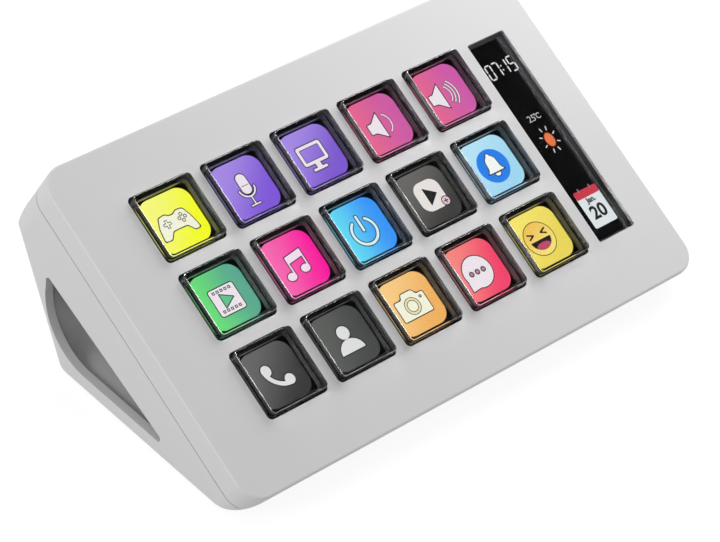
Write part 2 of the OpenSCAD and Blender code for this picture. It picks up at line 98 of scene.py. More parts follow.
KEY_NODES = [f"key_r{row}c{column}" for row in (1, 2, 3) for column in (1, 2, 3, 4, 5)]
KEY_PITCH = middle("key_r1c2")[0] - middle("key_r1c1")[0]
SCREEN_LEVEL = span("display_panel", OUTWARD)[1]


def screen_place(node):
    """Millimetres on the screen under a node: x along the keys, y up the face, z outwards."""
    across, upward = middle(node)
    origin = OUTWARD * SCREEN_LEVEL + ACROSS * across + UPWARD * upward
    axes = Matrix((ACROSS, UPWARD, OUTWARD)).transposed().to_4x4()
    return Matrix.Translation(origin) @ axes @ Matrix.Scale(MM, 4)


def paint(code):
    """The linear colour of a display colour such as "F5E060"."""
    shares = [int(code[i : i + 2], 16) / 255 for i in (0, 2, 4)]
    return tuple(s / 12.92 if s <= 0.04045 else ((s + 0.055) / 1.055) ** 2.4 for s in shares)


# ---------------------------------------------------------------- settings


def colour_property(name, description, code):
    return bpy.props.FloatVectorProperty(
        name=name, description=description, subtype="COLOR", size=3, min=0, max=1, default=paint(code)
    )


def length_property(name, description, default, least=0.0):
    return bpy.props.FloatProperty(
        name=name, description=description, default=default, min=least, unit="LENGTH", precision=5
    )


def number_property(name, description, default):
    return bpy.props.FloatProperty(name=name, description=description, default=default, min=0)


class KEYPAD_ShellSettings(bpy.types.PropertyGroup):
    """Colours and grain of the moulded shells."""

    cover: colour_property("Cover", "Colour of the front cover", "D6D5D6")
    housing: colour_property("Housing", "Colour of the rear housing", "D6D5D6")
    mask: colour_property("Mask", "Colour of the black frame round the keys", "121213")
    foam: colour_property("Foam", "Colour of the gasket round the side display", "5A5A5D")
    grain: length_property("Grain", "Size of the spark-eroded grain of the shells", 0.00035)


class KEYPAD_PictureSettings(bpy.types.PropertyGroup):
    """Sizes of the lit pictures behind the keys, and of the pocket under a cap."""

    width: length_property("Width", "Width of a key picture", 0.0130)
    height: length_property("Height", "Height of a key picture", 0.0128)
    corner: length_property("Corner", "Corner radius of a key picture", 0.0031)
    shift_x: length_property("Shift", "Picture centre to the right of the key's", 0.0005, -0.002)
    shift_y: length_property("Lift", "Picture centre above the key's", 0.0002, -0.002)
    line: length_property("Line", "Width of the dark line round a symbol", 0.00023)
    layer: length_property("Layer", "Thickness of one lit layer", 0.00001)
    pocket: length_property(
        "Pocket", "Distance from a cap's middle to halfway through its wall", 0.0071
    )
    glow: number_property("Glow", "Strength of the screen", 1.06)


class KEYPAD_StageSettings(bpy.types.PropertyGroup):
    """Camera, lamps, floor and card."""

    camera_place: bpy.props.FloatVectorProperty(
        name="Camera", description="Place of the camera", subtype="TRANSLATION", unit="LENGTH",
        default=(-0.38658, -0.35360, 0.44441),
    )
    camera_aim: bpy.props.FloatVectorProperty(
        name="Aim", description="Point that the camera looks at", subtype="TRANSLATION",
        unit="LENGTH", default=(-0.01198, -0.00981, 0.02268),
    )
    camera_roll: bpy.props.FloatProperty(
        name="Roll", description="Turn of the camera about its view", subtype="ANGLE",
        default=math.radians(8.058),
    )
    lens: number_property("Lens", "Focal length in mm", 159.32)
    floor: length_property("Floor", "Side of the square floor", 4.0)
    sky: number_property("Sky", "Strength of the even light", 0.57)
    near_lamp: number_property("Near lamp", "Power in watts", 0.46)
    side_lamp: number_property("Side lamp", "Power in watts", 2.5)
    rim_lamps: number_property(
        "Rim lamps", "Watts per square metre of the lamps that glossy edges show", 40.0
    )
    card: length_property("Card", "Side of the black card that the flat keys mirror", 0.9)


# ---------------------------------------------------------------- shader groups


# Scales of the patterns, in repeats per metre, and depths of their bumps, in metres.
CLOUD_SCALE = 55.0
WAVE_SCALE = 220.0
DOT_SCALE = 7000.0
STREAK_SCALE = (60.0, 2500.0, 2500.0)
GRAIN_DEPTH = 0.00005
STREAK_DEPTH = 0.00003

# The stretch of a noise's values that a pattern uses, and how bright the screen's dots get.
NOISE_LOW, NOISE_HIGH = 0.3, 0.7
DOT_DIM, DOT_BRIGHT = 0.9, 1.06


def new_group(name, inputs, outputs):
    """An empty shader node group with named sockets: inputs as (name, kind, default)."""
    group = bpy.data.node_groups.new(name, "ShaderNodeTree")
    for label, kind, default in inputs:
        socket = group.interface.new_socket(label, in_out="INPUT", socket_type=f"NodeSocket{kind}")
        socket.default_value = default
    for label, kind in outputs:
        group.interface.new_socket(label, in_out="OUTPUT", socket_type=f"NodeSocket{kind}")
    return group, group.nodes.new("NodeGroupInput"), group.nodes.new("NodeGroupOutput")


def add_node(tree, kind, links=(), **values):
    """A node with its properties set and its inputs linked or filled, by socket name or index."""
    node = tree.nodes.new(kind)
    for name, value in values.items():
        setattr(node, name, value)
    for socket, source in dict(links).items():
        if isinstance(source, bpy.types.NodeSocket):
            tree.links.new(source, node.inputs[socket])
        else:
            node.inputs[socket].default_value = source
    return node


def maths(tree, operation, *values):
    """The result of a Math node."""
    return add_node(tree, "ShaderNodeMath", dict(enumerate(values)), operation=operation).outputs[0]


def dot_product(tree, vector, way):
    """How far a vector reaches along a direction."""
    return add_node(
        tree, "ShaderNodeVectorMath", {0: vector, 1: way}, operation="DOT_PRODUCT"
    ).outputs["Value"]


def remap(tree, value, **ends):
    """A value mapped from one stretch to another."""
    links = {"Value": value, **{end.replace("_", " "): source for end, source in ends.items()}}
    return add_node(tree, "ShaderNodeMapRange", links).outputs["Result"]


def object_place(tree):
    """The place on the object that a pattern follows."""
    return add_node(tree, "ShaderNodeTexCoord").outputs["Object"]


def noise(tree, place, scale, detail, roughness=0.5):
    """The values of a noise pattern."""
    return add_node(
        tree, "ShaderNodeTexNoise",
        {"Vector": place, "Scale": scale, "Detail": detail, "Roughness": roughness},
    ).outputs["Fac"]


def mixed(tree, share, first, last):
    """A colour between two: sockets are found by kind, as a Mix node's data types share names."""
    node = add_node(tree, "ShaderNodeMix", data_type="RGBA")
    for name, kind, source in (("Factor", "VALUE", share), ("A", "RGBA", first), ("B", "RGBA", last)):
        target = next(s for s in node.inputs if s.name == name and s.type == kind and s.enabled)
        if isinstance(source, bpy.types.NodeSocket):
            tree.links.new(source, target)
        else:
            target.default_value = source
    return next(s for s in node.outputs if s.type == "RGBA" and s.enabled)


def scaled(tree, colour, amount):
    """A colour made brighter or darker."""
    return add_node(
        tree, "ShaderNodeVectorMath", {0: colour, "Scale": amount}, operation="SCALE"
    ).outputs[0]


def grain_group():
    """Fine moulded or blasted grain: an uneven roughness, a height for a bump and a soft cloud."""
    found = bpy.data.node_groups.get("fine_grain")
    if found:
        return found
    group, given, made = new_group(
        "fine_grain",
        [("Grain", "Float", 0.0004), ("Roughness", "Float", 0.4), ("Spread", "Float", 0.1)],
        [("Roughness", "Float"), ("Height", "Float"), ("Cloud", "Float")],
    )
    place = object_place(group)
    grain_scale = maths(group, "DIVIDE", 1.0, given.outputs["Grain"])
    fine = noise(group, place, grain_scale, detail=3.0, roughness=0.6)
    cloud = noise(group, place, CLOUD_SCALE, detail=4.0)
    centred = maths(group, "SUBTRACT", maths(group, "ADD", fine, cloud), 1.0)
    uneven = maths(group, "MULTIPLY_ADD", centred, given.outputs["Spread"], given.outputs["Roughness"])
    group.links.new(uneven, made.inputs["Roughness"])
    group.links.new(fine, made.inputs["Height"])
    group.links.new(cloud, made.inputs["Cloud"])
    return group


def brushed_group():
    """Rolled or brushed metal: long streaks along one direction."""
    found = bpy.data.node_groups.get("brushed_streaks")
    if found:
        return found
    group, given, made = new_group(
        "brushed_streaks",
        [("Roughness", "Float", 0.35), ("Spread", "Float", 0.2)],
        [("Roughness", "Float"), ("Height", "Float")],
    )
    drawn = add_node(
        group, "ShaderNodeMapping", {"Vector": object_place(group), "Scale": STREAK_SCALE}
    )
    streak = noise(group, drawn.outputs[0], 1.0, detail=3.0)
    uneven = maths(group, "MULTIPLY_ADD", streak, given.outputs["Spread"], given.outputs["Roughness"])
    group.links.new(uneven, made.inputs["Roughness"])
    group.links.new(streak, made.inputs["Height"])
    return group


def pixel_group():
    """The fine dots of a lit screen, and a colour that runs from one tone to another."""
    found = bpy.data.node_groups.get("screen_dots")
    if found:
        return found
    group, given, made = new_group(
        "screen_dots",
        [
            ("Direction", "Vector", (1.0, 0.0, 0.0)), ("Start", "Float", 0.0),
            ("End", "Float", 1.0), ("First", "Color", (1, 1, 1, 1)), ("Last", "Color", (1, 1, 1, 1)),
        ],
        [("Color", "Color")],
    )
    place = object_place(group)
    along = dot_product(group, place, given.outputs["Direction"])
    share = add_node(
        group, "ShaderNodeMapRange",
        {"Value": along, "From Min": given.outputs["Start"], "From Max": given.outputs["End"]},
        interpolation_type="SMOOTHSTEP",
    )
    tone = mixed(group, share.outputs["Result"], given.outputs["First"], given.outputs["Last"])
    dots = remap(
        group, noise(group, place, DOT_SCALE, detail=1.0), From_Min=NOISE_LOW, From_Max=NOISE_HIGH,
        To_Min=DOT_DIM, To_Max=DOT_BRIGHT,
    )
    group.links.new(scaled(group, tone, dots), made.inputs["Color"])
    return group


# ---------------------------------------------------------------- materials


# How squarely a surface of a clear part faces outwards: walls lie below, and tops above. Walls get a
# darker tint as painted shade.
WALL_FACING, TOP_FACING = 0.25, 0.7


def new_material(name, **sockets):
    """A material whose Principled shader has plain values on its own sockets."""
    material = bpy.data.materials.new(name)
    material.use_nodes = True
    shader = material.node_tree.nodes["Principled BSDF"]
    for socket, value in sockets.items():
        shader.inputs[socket.replace("_", " ")].default_value = value
    return material, material.node_tree, shader


def opaque(colour):
    return (*colour[:3], 1.0)


def add_bump(tree, shader, strength, depth, height):
    bumped = add_node(
        tree, "ShaderNodeBump", {"Strength": strength, "Distance": depth, "Height": height}
    )
    tree.links.new(bumped.outputs["Normal"], shader.inputs["Normal"])


def grained(name, colour, roughness, grain=0.0004, spread=0.1, bump=0.05, shade=0.94):
    """A moulded or coated finish with fine grain, clouded from its colour to a darker shade."""
    material, tree, shader = new_material(name)
    group = add_node(
        tree, "ShaderNodeGroup", {"Grain": grain, "Roughness": roughness, "Spread": spread},
        node_tree=grain_group(),
    )
    ramp = add_node(tree, "ShaderNodeValToRGB", {"Fac": group.outputs["Cloud"]})
    tones = [shade * c for c in colour], colour
    for stop, position, tone in zip(ramp.color_ramp.elements, (NOISE_LOW, NOISE_HIGH), tones):
        stop.position = position
        stop.color = opaque(tone)
    tree.links.new(ramp.outputs["Color"], shader.inputs["Base Color"])
    tree.links.new(group.outputs["Roughness"], shader.inputs["Roughness"])
    add_bump(tree, shader, bump, GRAIN_DEPTH, group.outputs["Height"])
    return material


def brushed(name, colour, roughness, spread=0.15, bump=0.1):
    """A bare or plated metal with rolled streaks."""
    material, tree, shader = new_material(name, Metallic=1.0, Base_Color=opaque(colour))
    group = add_node(
        tree, "ShaderNodeGroup", {"Roughness": roughness, "Spread": spread}, node_tree=brushed_group()
    )
    tree.links.new(group.outputs["Roughness"], shader.inputs["Roughness"])
    add_bump(tree, shader, bump, STREAK_DEPTH, group.outputs["Height"])
    return material


def pocket_mask(tree, place):
    """One in the pockets under the caps, and zero on the outer walls: both repeat with the keys."""
    offsets = []
    for way, start in zip((ACROSS, UPWARD), middle(KEY_NODES[0])):
        moved = maths(tree, "SUBTRACT", dot_product(tree, place, way), start)
        offsets.append(maths(tree, "PINGPONG", moved, KEY_PITCH / 2))
    furthest = maths(tree, "MAXIMUM", *offsets)
    return maths(tree, "LESS_THAN", furthest, bpy.context.scene.keypad_pictures.pocket)


def clear(name, tint, sides, roughness, pocket=None, foot=0.0, bump=0.006):
    """Polished acrylic: its walls are tinted darker as painted shade, and it is painted black up to the
    height of its foot over the screen as painted shade.

    A pocket is the tone and the roughness of frosted inner walls.
    """
    material, tree, shader = new_material(name, IOR=1.49, Transmission_Weight=1.0)
    normal = tree.nodes.new("ShaderNodeNewGeometry").outputs["Normal"]
    flat = maths(tree, "ABSOLUTE", dot_product(tree, normal, OUTWARD))
    level = remap(tree, flat, From_Min=WALL_FACING, From_Max=TOP_FACING)
    place = object_place(tree)
    # Below the height of the foot the tone is scaled to black: painted shade round each key.
    bare = maths(tree, "GREATER_THAN", dot_product(tree, place, OUTWARD), SCREEN_LEVEL + foot)
    # The sides tone on the walls is darker than the tint on the tops: painted shade.
    wall, blur = opaque(sides), roughness
    if pocket:
        inside = pocket_mask(tree, place)
        wall = mixed(tree, inside, wall, opaque(pocket[0]))
        blur = remap(tree, inside, To_Min=roughness, To_Max=pocket[1])
    tone = scaled(tree, mixed(tree, level, wall, opaque(tint)), bare)
    tree.links.new(tone, shader.inputs["Base Color"])
    tree.links.new(remap(tree, level, To_Min=blur, To_Max=0.0), shader.inputs["Roughness"])
    add_bump(tree, shader, bump, GRAIN_DEPTH, noise(tree, place, WAVE_SCALE, detail=1.0))
    return material


def lit(name, first, last=None, place=None, width=None, turn=0.0):
    """A lit screen colour.

    With a last tone, it runs across a picture at a place, over a width in millimetres, and in a
    direction turned from that of the keys.
    """
    found = bpy.data.materials.get(name)
    if found:
        return found
    glow = bpy.context.scene.keypad_pictures.glow
    material, tree, shader = new_material(
        name, Base_Color=(0.01, 0.01, 0.012, 1.0), Roughness=0.3, Emission_Strength=glow
    )
    group = add_node(
        tree, "ShaderNodeGroup", {"First": opaque(first), "Last": opaque(last or first)},
        node_tree=pixel_group(),
    )
    if last:
        direction = ACROSS * math.cos(turn) + UPWARD * math.sin(turn)
        centre = place.translation.dot(direction)
        group.inputs["Direction"].default_value = direction
        group.inputs["Start"].default_value = centre - width / 2 * MM
        group.inputs["End"].default_value = centre + width / 2 * MM
    tree.links.new(group.outputs["Color"], shader.inputs["Emission Color"])
    return material


def dress(material, *nodes):
    """Gives CAD nodes one material."""
    for node in nodes:
        slots = frame["nodes"][node].data.materials
        slots.clear()
        slots.append(material)


# ---------------------------------------------------------------- flat shapes, in millimetres


# Corners closer than this become one, and a stroke's end has this share of its width as radius,
# just short of the half where the corners of the end would meet.
SAME_CORNER = 1e-4
ROUND_END = 0.49


def disc(x, y, radius, squeeze=1.0, steps=40):
    """A round or, with squeeze, an upright oval."""

    def draw(flat, grow):
        size = Matrix.Diagonal((radius + grow, radius * squeeze + grow, 1, 1))
        bmesh.ops.create_circle(
            flat, cap_ends=True, segments=steps, radius=1.0, matrix=Matrix.Translation((x, y, 0)) @ size
        )

    return draw


def grown(points, amount):
    """A polygon with every side moved outwards."""
    corners = [Vector(point) for point in points]
    area = sum(a.cross(b) for a, b in zip(corners, corners[1:] + corners[:1]))
    turned = []
    for before, corner, after in zip(corners[-1:] + corners[:-1], corners, corners[1:] + corners[:1]):
        normals = [side.normalized().orthogonal() for side in (corner - before, after - corner)]
        mitre = (normals[0] + normals[1]) / (1 + normals[0].dot(normals[1]))
        turned.append(corner - mitre * math.copysign(amount, area))
    return turned


def outline(points, rounding=0.0, steps=6):
    """A polygon with rounded corners."""

    def draw(flat, grow):
        corners = [flat.verts.new((x, y, 0)) for x, y in grown(points, grow)]
        face = flat.faces.new(corners)
        face.normal_update()
        if rounding:
            bmesh.ops.bevel(
                flat, geom=face.verts[:], offset=rounding + grow, offset_type="OFFSET",
                segments=steps, profile=0.5, affect="VERTICES", clamp_overlap=True, material=-1,
            )

    return draw


def box(x, y, width, height, rounding=0.0, steps=6):
    """An upright rectangle with rounded corners."""
    sides = [(-1, -1), (1, -1), (1, 1), (-1, 1)]
    return outline([(x + i * width / 2, y + j * height / 2) for i, j in sides], rounding, steps)


def bar(start, end, width):
    """A straight stroke with round ends."""
    along = (Vector(end) - Vector(start)).normalized() * width / 2
    side = Vector((-along.y, along.x))
    first, last = Vector(start) - along, Vector(end) + along
    corners = [first - side, last - side, last + side, first + side]
    return outline([tuple(corner) for corner in corners], ROUND_END * width)


def polar(x, y, radius, angle):
    return x + radius * math.cos(math.radians(angle)), y + radius * math.sin(math.radians(angle))


def arc(x, y, radius, width, start, end):
    """A bent stroke with round ends, between two angles in degrees."""

    def draw(flat, grow):
        half = width / 2 + grow
        ends = [flat.verts.new((*polar(x, y, radius + side * half, start), 0)) for side in (-1, 1)]
        edge = flat.edges.new(ends)
        bmesh.ops.spin(
            flat, geom=[*ends, edge], cent=(x, y, 0), axis=(0, 0, 1),
            angle=math.radians(end - start), steps=24,
        )
        for angle in (start, end):
            disc(*polar(x, y, radius, angle), half, steps=16)(flat, 0)

    return draw


def ring(x, y, radius, width):
    """A closed circular stroke."""

    def draw(flat, grow):
        half = width / 2 + grow
        ends = [flat.verts.new((x + radius + side * half, y, 0)) for side in (-1, 1)]
        edge = flat.edges.new(ends)
        bmesh.ops.spin(
            flat, geom=[*ends, edge], cent=(x, y, 0), axis=(0, 0, 1), angle=math.tau, steps=48,
            use_merge=True,
        )

    return draw


def half_disc(x, y, radius, height, rounding=0.0):
    """The upper half of an oval, or with a negative height the lower half."""
    steps = 20
    points = [
        (x + radius * math.cos(math.pi * i / steps), y + height * math.sin(math.pi * i / steps))
        for i in range(steps + 1)
    ]
    return outline(points if height > 0 else points[::-1], rounding)


def lettering(text, x, y, height, bold=0.0):
    """Digits or letters from the built-in font, centred on a point and made a mesh."""

    def draw(flat, grow):
        curve = bpy.data.curves.new("letters", "FONT")
        curve.body, curve.align_x, curve.align_y = text, "CENTER", "CENTER"
        curve.offset = bold
        holder = bpy.data.objects.new("letters", curve)
        bpy.context.scene.collection.objects.link(holder)
        bpy.context.view_layer.update()
        mesh = bpy.data.meshes.new_from_object(holder)
        bpy.data.objects.remove(holder)
        low = min(vertex.co.y for vertex in mesh.vertices)
        high = max(vertex.co.y for vertex in mesh.vertices)
        mesh.transform(
            Matrix.Translation((x, y, 0)) @ Matrix.Scale(height / (high - low), 4)
            @ Matrix.Translation((0, -(high + low) / 2, 0))
        )
        flat.from_mesh(mesh)
        bpy.data.meshes.remove(mesh)

    return draw


class Picture:
    """Flat lit shapes on the screen under a node, each layer on top of the last."""

    def __init__(self, name, node):
        self.name = name
        self.place = screen_place(node)
        self.mesh = bmesh.new()
        self.paints = []
        self.level = 0.0

    def layer(self, material, *shapes, grow=0.0):
        """Shapes of one colour on top of the last layer, grown on every side."""
        step = bpy.context.scene.keypad_pictures.layer / MM
        flat = bmesh.new()
        for shape in shapes:
            shape(flat, grow)
        bmesh.ops.remove_doubles(flat, verts=flat.verts, dist=SAME_CORNER)
        for face in flat.faces:
            face.normal_update()
            if face.normal.z < 0:
                face.normal_flip()
        raised = bmesh.ops.extrude_face_region(flat, geom=flat.faces[:], use_keep_orig=True)
        tops = [item for item in raised["geom"] if isinstance(item, bmesh.types.BMVert)]
        bmesh.ops.translate(flat, verts=tops, vec=(0, 0, step))
        bmesh.ops.translate(flat, verts=flat.verts, vec=(0, 0, self.level))
        bmesh.ops.recalc_face_normals(flat, faces=flat.faces)
        self.level += step
        if material not in self.paints:
            self.paints.append(material)
        for face in flat.faces:
            face.material_index = self.paints.index(material)
        mesh = bpy.data.meshes.new(self.name)
        flat.to_mesh(mesh)
        flat.free()
        self.mesh.from_mesh(mesh)
        bpy.data.meshes.remove(mesh)

    def symbol(self, colour, *shapes, share=1.0):
        """Shapes with a dark line round them, or with a share of that line."""
        line = bpy.context.scene.keypad_pictures.line / MM
        self.layer(ink(), *shapes, grow=share * line)
        self.layer(colour, *shapes)

    def finish(self):
        """Places the picture on the screen as one piece."""
        self.mesh.transform(self.place)
        mesh = bpy.data.meshes.new(self.name)
        self.mesh.to_mesh(mesh)
        self.mesh.free()
        for material in self.paints:
            mesh.materials.append(material)
        piece = bpy.data.objects.new(self.name, mesh)
        bpy.context.scene.collection.objects.link(piece)
        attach(piece, "case")


# Screen colours that several pictures share.


def ink():
    return lit("screen_ink", paint("120E15"))


def pale():
    return lit("screen_pale", paint("F3E9F0"))


def silver():
    return lit("screen_silver", paint("E4E3E4"))


def cream():
    return lit("screen_cream", paint("F8F7DF"))


def black():
    return lit("screen_black", paint("0B0B0C"))


def chalk():
    return lit("screen_digits", paint("E9E7E8"))


# ---------------------------------------------------------------- symbols on the keys


def game_pad(picture):
    body = outline(
        [(-2.75, 2.0), (-1.0, 2.2), (-0.35, 1.6), (1.05, 1.6), (1.7, 2.2), (3.45, 2.0),
         (4.35, -0.2), (4.95, -3.1), (3.7, -3.25), (2.5, -1.65), (-1.3, -1.65), (-2.6, -3.25),
         (-4.2, -3.1), (-3.75, -0.2)], rounding=0.55)
    picture.symbol(cream(), body)
    cross = -1.62, 0.15
    picture.layer(ink(), box(*cross, 0.7, 2.0), box(*cross, 2.0, 0.7))
    picture.layer(cream(), box(*cross, 0.4, 1.7), box(*cross, 1.7, 0.4))
    buttons = [polar(2.35, 0.27, 0.72, 90 * i) for i in range(4)]
    picture.layer(ink(), *[disc(x, y, 0.43, steps=20) for x, y in buttons])
    picture.layer(cream(), *[disc(x, y, 0.24, steps=16) for x, y in buttons])


def microphone(picture):
    x = 0.5
    picture.symbol(
        pale(), box(x, 1.05, 2.4, 4.7, rounding=1.15, steps=10), arc(x, 0.05, 2.0, 0.36, 185, 355),
        bar((x, -2.0), (x, -3.9), 0.3), bar((x - 1.15, -4.0), (x + 1.15, -4.0), 0.3))
    picture.layer(ink(), box(x, 0.65, 2.0, 0.14))


def monitor(picture):
    screen = 0.3, 0.75
    picture.symbol(
        pale(), box(*screen, 6.6, 4.6, rounding=0.6), box(0.3, -2.1, 1.3, 1.4),
        box(0.3, -2.9, 3.8, 0.6, rounding=0.25))
    picture.layer(ink(), box(*screen, 5.2, 3.2, rounding=0.2))
    picture.layer(picture.paints[0], box(*screen, 4.9, 2.9, rounding=0.15))


def speaker(*waves, x):
    """A loudspeaker whose front stands at x, with waves of these radii and half angles."""

    def draw(picture):
        strokes = [arc(x - 0.08, -0.15, radius, 0.3, -reach, reach) for radius, reach in waves]
        picture.symbol(pale(), *strokes, share=0.55)
        body = [(x - 3.6, 0.95), (x - 2.3, 1.0), (x, 2.85), (x, -3.2), (x - 2.3, -1.4),
                (x - 3.6, -1.35)]
        picture.symbol(pale(), outline(body, rounding=0.12, steps=3))

    return draw


def film_strip(picture):
    picture.symbol(pale(), box(0.57, -0.35, 6.4, 6.05, rounding=0.5))
    first_hole, hole_pitch = -1.54, 1.03
    holes = [(first_hole + hole_pitch * i, y) for i in range(5) for y in (1.9, -2.5)]
    picture.layer(ink(), *[box(x, y, 0.68, 0.66) for x, y in holes])
    picture.layer(pale(), *[box(x, y, 0.28, 0.26) for x, y in holes])
    triangle = outline([(-0.5, 1.15), (-0.5, -1.8), (2.15, -0.32)], rounding=0.1, steps=3)
    picture.symbol(lit("screen_leaf", paint("63C58E")), triangle)


def two_notes(picture):
    beam = outline([(-1.27, 2.1), (3.1, 2.7), (3.1, 1.05), (-1.27, 0.45)])
    stems = [bar((-1.1, 1.6), (-1.1, -2.0), 0.36), bar((2.93, 2.2), (2.93, -1.5), 0.36)]
    heads = [disc(-2.0, -2.25, 1.15, 0.78), disc(2.0, -1.72, 1.15, 0.78)]
    picture.symbol(lit("screen_blush", paint("F8E2F0")), beam, *stems, *heads)


def power_mark(picture):
    x, stroke = 0.58, 0.62
    picture.symbol(
        lit("screen_sky", paint("DDF5FC")), arc(x, -0.35, 3.06, stroke, 125, 416),
        bar((x, 3.25), (x, -0.1), stroke))


def play_mark(picture):
    bone = lit("screen_bone", paint("EDE7E3"))
    picture.layer(bone, box(1.13, 0.35, 6.95, 7.05, rounding=2.3, steps=10))
    picture.layer(black(), outline([(0.0, 2.45), (0.0, -1.95), (3.0, 0.27)], rounding=0.1, steps=3))
    badge = 3.85, -2.2
    picture.symbol(lit("screen_rose", paint("EFC6D8")), disc(*badge, 0.95))
    picture.layer(black(), box(*badge, 1.1, 0.26), box(*badge, 0.26, 1.1))


def bell_mark(picture):
    x = 0.73
    picture.layer(lit("screen_azure", paint("1F80EE")), disc(x, -0.04, 4.1, steps=64))
    bell = outline(
        [(-1.55, -1.5), (3.0, -1.5), (2.3, -0.7), (2.1, 1.5), (1.4, 2.4), (0.05, 2.4),
         (-0.65, 1.5), (-0.85, -0.7)], rounding=0.35)
    picture.symbol(
        lit("screen_white", paint("FBFCF6")), bell, disc(x, 2.55, 0.42, steps=20),
        half_disc(x, -1.85, 0.75, -0.7))


def handset(picture):
    picture.symbol(
        silver(), arc(2.9, 2.2, 4.75, 0.95, 195, 263), disc(-1.1, 1.72, 1.18, 1.08),
        disc(2.85, -1.85, 1.18, 1.02))


def person(picture):
    picture.symbol(silver(), disc(0.76, 1.5, 1.52), half_disc(0.75, -3.0, 3.1, 2.95, rounding=0.12))


def camera_mark(picture):
    body = outline(
        [(-3.6, -2.85), (4.35, -2.85), (4.35, 1.85), (2.6, 1.85), (1.95, 3.05), (-1.05, 3.05),
         (-1.5, 1.85), (-3.6, 1.85)], rounding=0.35)
    picture.symbol(cream(), body)
    lens = 0.25, -0.25
    picture.layer(lit("screen_umber", paint("2E2814")), ring(*lens, 1.95, 0.16),
                  ring(*lens, 1.3, 0.16), ring(3.2, 0.95, 0.26, 0.24))
    picture.layer(lit("screen_sand", paint("EFE3B0")), ring(*lens, 1.62, 0.46))


def chat_bubble(picture):
    tail = outline([(-3.45, -3.75), (-3.35, -1.5), (0.0, -2.0), (-1.2, -3.55)], rounding=0.12, steps=3)
    picture.symbol(pale(), disc(0.27, -0.12, 3.72, steps=64), tail)
    first_dot, dot_pitch = -1.48, 1.68
    dots = [(first_dot + dot_pitch * i, -0.12) for i in range(3)]
    picture.layer(ink(), *[disc(x, y, 0.66, steps=24) for x, y in dots])
    coral = lit("screen_coral", paint("B08890"))
    picture.layer(coral, *[disc(x, y, 0.42, steps=20) for x, y in dots])


def laughing_face(picture):
    x, y = 0.08, 0.02
    picture.layer(lit("screen_olive", paint("4A4010")), disc(x, y, 4.12, steps=64))
    honey = lit("screen_honey", paint("F6C85A"), paint("FBE67A"), picture.place, width=8.0,
                turn=math.radians(-70))
    picture.layer(honey, disc(x, y, 3.92, steps=64))
    for side in (-1, 1):
        corner = (x + side * 1.1, 1.2)
        picture.layer(black(), bar(corner, (x + side * 2.5, 1.8), 0.4),
                      bar(corner, (x + side * 2.4, 0.6), 0.4))
    picture.layer(black(), half_disc(x, -0.2, 2.8, -2.45, rounding=0.1))
    picture.layer(lit("screen_tongue", paint("BE4A68")), disc(x, -1.72, 1.95, 0.42, steps=32))


# Each key's picture: its first tone, its last tone, the way in degrees from one to the other,
# and the symbol on it.
KEY_PICTURES = {
    "key_r1c1": ("FCFD7E", "F8FF14", -30, game_pad),
    "key_r1c2": ("A88CE8", "7F54DA", -45, microphone),
    "key_r1c3": ("A88CE8", "7E56D2", -45, monitor),
    "key_r1c4": ("EA6890", "D25AA6", 0, speaker((2.57, 57), x=0.85)),
    "key_r1c5": ("EA6890", "D25AAC", 0, speaker((2.4, 50), (3.2, 46), (4.05, 44), x=-0.05)),
    "key_r2c1": ("6CE478", "5AAA92", 0, film_strip),
    "key_r2c2": ("FB6CB4", "FF08A0", -10, two_notes),
    "key_r2c3": ("66E0F8", "3496FC", 0, power_mark),
    "key_r2c4": ("6A6866", "3A3937", -55, play_mark),
    "key_r2c5": ("BCE8FB", "A2DCF6", -45, bell_mark),
    "key_r3c1": ("686665", "343332", -45, handset),
    "key_r3c2": ("5E605D", "434643", -20, person),
    "key_r3c3": ("FFD088", "F6B460", -35, camera_mark),
    "key_r3c4": ("FC8A84", "F8406C", -25, chat_bubble),
    "key_r3c5": ("FCEA70", "EFDA58", -45, laughing_face),
}


# ---------------------------------------------------------------- the side display


def seven_segments(x, y, width, height, digit):
    """One digit drawn with seven thin strokes, centred on a point."""
    left, right = x - width / 2, x + width / 2
    low, high = y - height / 2, y + height / 2
    gap, stroke = 0.3, 0.34
    places = {
        "a": ((left + gap, high), (right - gap, high)), "g": ((left + gap, y), (right - gap, y)),
        "d": ((left + gap, low), (right - gap, low)), "f": ((left, y + gap), (left, high - gap)),
        "b": ((right, y + gap), (right, high - gap)), "e": ((left, low + gap), (left, y - gap)),
        "c": ((right, low + gap), (right, y - gap)),
    }
    lit_strokes = {"0": "abcdef", "7": "abc", "1": "bc", "5": "afgcd"}[digit]
    return [bar(*places[name], stroke) for name in lit_strokes]


def clock(picture, y):
    """Four digits of a time, with a colon between them."""
    strokes = []
    for x, digit in ((-2.65, "0"), (-0.62, "7"), (1.6, "1"), (3.85, "5")):
        strokes += seven_segments(x, y, 1.45, 3.6, digit)
    strokes += [box(0.85, y + side, 0.3, 0.36) for side in (0.55, -0.55)]
    picture.layer(chalk(), *strokes)


def temperature(picture, y):
    """Two digits, the degree ring and the scale's letter as an open ring."""
    picture.layer(lit("screen_soft", paint("C9C7C8")), lettering("25", -0.4, y, 1.6),
                  ring(0.88, y + 0.6, 0.2, 0.13), arc(1.75, y, 0.6, 0.2, 45, 315))


def sun(picture, x, y):
    """A sun with a dark edge and eight rays, drawn taller than wide."""
    stretch = 1.42
    picture.layer(lit("screen_ember", paint("B4441E")), disc(x, y, 1.28, stretch))
    picture.layer(lit("screen_sun", paint("F0804A")), disc(x, y, 1.12, 1.45))
    rays = []
    for i in range(8):
        turn = math.radians(22.5 + 45 * i)
        inner, outer = [
            (x + reach * math.cos(turn), y + stretch * reach * math.sin(turn))
            for reach in (1.75, 2.35)
        ]
        rays.append(bar(inner, outer, 0.24))
    picture.layer(chalk(), *rays)


